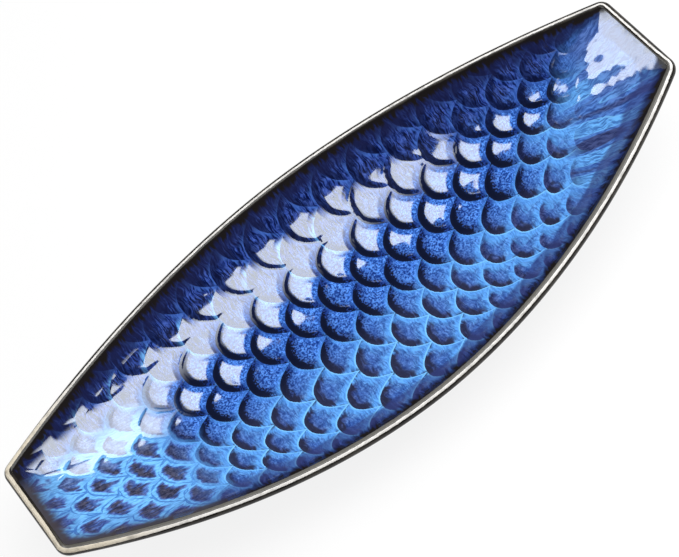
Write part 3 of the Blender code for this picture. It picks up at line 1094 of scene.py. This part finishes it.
# studio: pale floor, a big soft light over the right end and a small one beyond the left end
studio = {
    "floorSize": 6.0,
    "floorDrop": 0.0002,            # just clear of the foot
    "floorColour": (0.90, 0.90, 0.90),
    "floorGlow": 0.86,              # share of plain white that the camera sees in the floor
    "softbox": {
        "place": (0.700, -0.034, 1.034),
        "aim": (0.560, -0.564, 0.034),
        "size": (1.70, 1.12),
        "turn": math.radians(22),
        "level": 4.4,
    },
    "sideLight": {
        "place": (-0.70, 0.56, 1.0),
        "aim": (0.0, 0.0, 0.0),
        "size": (0.31, 0.30),
        "turn": math.radians(8),
        "level": 4.4,
    },
    "worldDiffuse": 0.22,
    "worldMirror": 0.05,            # what the glaze mirrors of the dark room above the horizon
    "horizonMirror": 0.12,          # and of the paler room below it
    "horizon": (math.radians(12), math.radians(6)),
}


def pathRay(tree, *kinds):
    # 1 for any of these kinds of ray
    path = tree.nodes.new("ShaderNodeLightPath")
    rays = [Wire(tree, path.outputs["Is " + kind + " Ray"]) for kind in kinds]
    ray = rays[0]
    for other in rays[1:]:
        ray = ray.high(other)
    return ray


def floorMaterial():
    material = bpy.data.materials.new("paleFloor")
    material.use_nodes = True
    tree = material.node_tree
    tree.nodes.remove(tree.nodes["Principled BSDF"])
    diffuse = tree.nodes.new("ShaderNodeBsdfDiffuse")
    feed(diffuse.inputs["Color"], studio["floorColour"])
    glow = tree.nodes.new("ShaderNodeEmission")
    seen = pathRay(tree, "Camera", "Glossy", "Transmission")
    blend = tree.nodes.new("ShaderNodeMixShader")
    feed(blend.inputs[0], seen * studio["floorGlow"])
    tree.links.new(diffuse.outputs[0], blend.inputs[1])
    tree.links.new(glow.outputs[0], blend.inputs[2])
    tree.links.new(blend.outputs[0], tree.nodes["Material Output"].inputs["Surface"])
    return material


def layFloor():
    bm = bmesh.new()
    bmesh.ops.create_grid(bm, x_segments=2, y_segments=2, size=studio["floorSize"])
    mesh = bpy.data.meshes.new("paleFloor")
    bm.to_mesh(mesh)
    bm.free()
    mesh.materials.append(floorMaterial())
    floor = bpy.data.objects.new("paleFloor", mesh)
    bpy.context.scene.collection.objects.link(floor)
    floor.location.z = -studio["floorDrop"]


def hangLight(name, place, aim, size, turn, level):
    # a rectangle facing its aim, as bright as level everywhere, its first side turned from X
    lamp = bpy.data.lights.new(name, "AREA")
    lamp.shape = "RECTANGLE"
    lamp.size, lamp.size_y = size
    lamp.energy = math.pi * size[0] * size[1] * level
    back = (Vector(place) - Vector(aim)).normalized()
    side = Vector((math.cos(turn), math.sin(turn), 0.0))
    side = (side - back * side.dot(back)).normalized()
    thing = bpy.data.objects.new(name, lamp)
    thing.rotation_euler = Matrix((side, back.cross(side), back)).transposed().to_euler()
    thing.location = place
    bpy.context.scene.collection.objects.link(thing)


def setWorld():
    world = bpy.data.worlds.new("studio")
    bpy.context.scene.world = world
    world.use_nodes = True
    tree = world.node_tree
    sky = tree.nodes["Background"]
    direction = Wire(tree, tree.nodes.new("ShaderNodeTexCoord").outputs["Generated"])
    horizon = parts(direction)[2].ramp(*[math.sin(angle) for angle in studio["horizon"]])
    mirrored = between(horizon, studio["worldMirror"], studio["horizonMirror"])
    level = between(pathRay(tree, "Glossy", "Transmission"), studio["worldDiffuse"], mirrored)
    feed(sky.inputs["Strength"], between(pathRay(tree, "Camera"), level, 1.0))
    feed(sky.inputs["Color"], (1.0, 1.0, 1.0))


layFloor()
for lightName in ("softbox", "sideLight"):
    hangLight(lightName, **studio[lightName])
setWorld()
print("studio lit")

# camera at the photograph's angle
shot = {
    "distance": 0.9,
    "elevation": math.radians(60.0),
    "azimuth": math.radians(-13.125),
    "roll": math.radians(26.948),
    "lens": 103.55,
    "target": (0.0, 0.0, 0.031),
    "slide": (-0.00532, 0.002686),  # camera and target moved along the picture's own axes
}


def setCamera():
    azimuth, elevation = shot["azimuth"], shot["elevation"]
    back = Vector((math.sin(azimuth) * math.cos(elevation), -math.cos(azimuth) * math.cos(elevation),
                   math.sin(elevation)))
    turn = back.to_track_quat("Z", "Y") @ Quaternion((0, 0, 1), -shot["roll"])
    lens = bpy.data.cameras.new("camera")
    lens.lens = shot["lens"]
    lens.sensor_width = 36.0
    lens.clip_start = 0.01
    camera = bpy.data.objects.new("camera", lens)
    camera.rotation_euler = turn.to_euler()
    slide = turn @ Vector((shot["slide"][0], shot["slide"][1], 0.0))
    camera.location = Vector(shot["target"]) + back * shot["distance"] + slide
    bpy.context.scene.collection.objects.link(camera)
    bpy.context.scene.camera = camera


setCamera()
bpy.context.scene.view_settings.view_transform = "Standard"
print("camera set")
